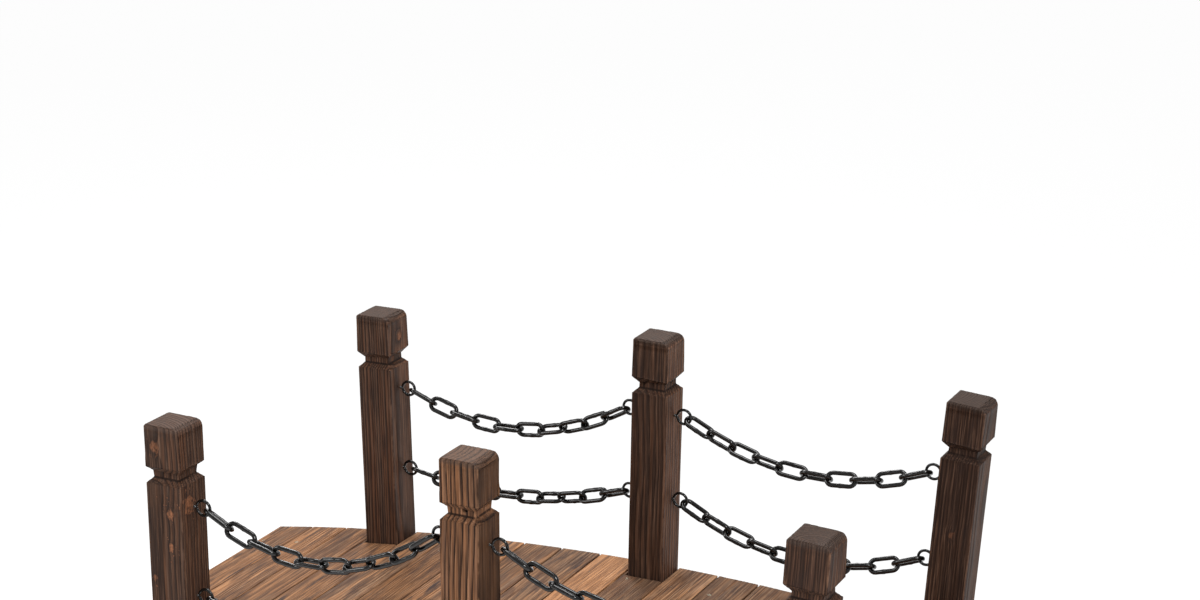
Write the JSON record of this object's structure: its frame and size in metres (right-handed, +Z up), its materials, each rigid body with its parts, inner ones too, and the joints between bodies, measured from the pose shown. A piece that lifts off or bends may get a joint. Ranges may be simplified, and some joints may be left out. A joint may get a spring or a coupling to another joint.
{
  "type": "garden bridge",
  "caption": "Low arched wooden garden footbridge with a deck of cross planks, square posts with cut necks and chain railings hung from screw eyes.",
  "frame": {"origin": "on the ground under the middle of the deck", "axes": "+X along the walk to the right end, +Y to the rear railing, +Z up"},
  "size_m": [1.5168, 0.672, 0.5161],
  "materials": {
    "post_wood": "dark charred and brushed softwood, matt",
    "deck_wood": "reddish brown stained softwood with dark streaks, matt",
    "stringer_wood": "brown stained softwood, matt",
    "chain_metal": "black semi-gloss coating"
  },
  "bodies": {
    "root": {"stringer_front": "stringer_wood", "stringer_rear": "stringer_wood", "plank_01": "deck_wood", "plank_02": "deck_wood", "plank_03": "deck_wood", "plank_04": "deck_wood", "plank_05": "deck_wood", "plank_06": "deck_wood", "plank_07": "deck_wood", "plank_08": "deck_wood", "plank_09": "deck_wood", "plank_10": "deck_wood", "plank_11": "deck_wood", "plank_12": "deck_wood", "plank_13": "deck_wood", "plank_14": "deck_wood", "plank_15": "deck_wood", "plank_16": "deck_wood", "plank_17": "deck_wood", "plank_18": "deck_wood", "plank_19": "deck_wood", "plank_20": "deck_wood", "plank_21": "deck_wood", "post_left_front": "post_wood", "post_middle_front": "post_wood", "post_right_front": "post_wood", "post_left_rear": "post_wood", "post_middle_rear": "post_wood", "post_right_rear": "post_wood", "eyes_left_front": "chain_metal", "eyes_middle_front": "chain_metal", "eyes_right_front": "chain_metal", "eyes_left_rear": "chain_metal", "eyes_middle_rear": "chain_metal", "eyes_right_rear": "chain_metal", "chain_upper_left_front": "chain_metal", "chain_lower_left_front": "chain_metal", "chain_upper_right_front": "chain_metal", "chain_lower_right_front": "chain_metal", "chain_upper_left_rear": "chain_metal", "chain_lower_left_rear": "chain_metal", "chain_upper_right_rear": "chain_metal", "chain_lower_right_rear": "chain_metal"}
  },
  "joints": []
}
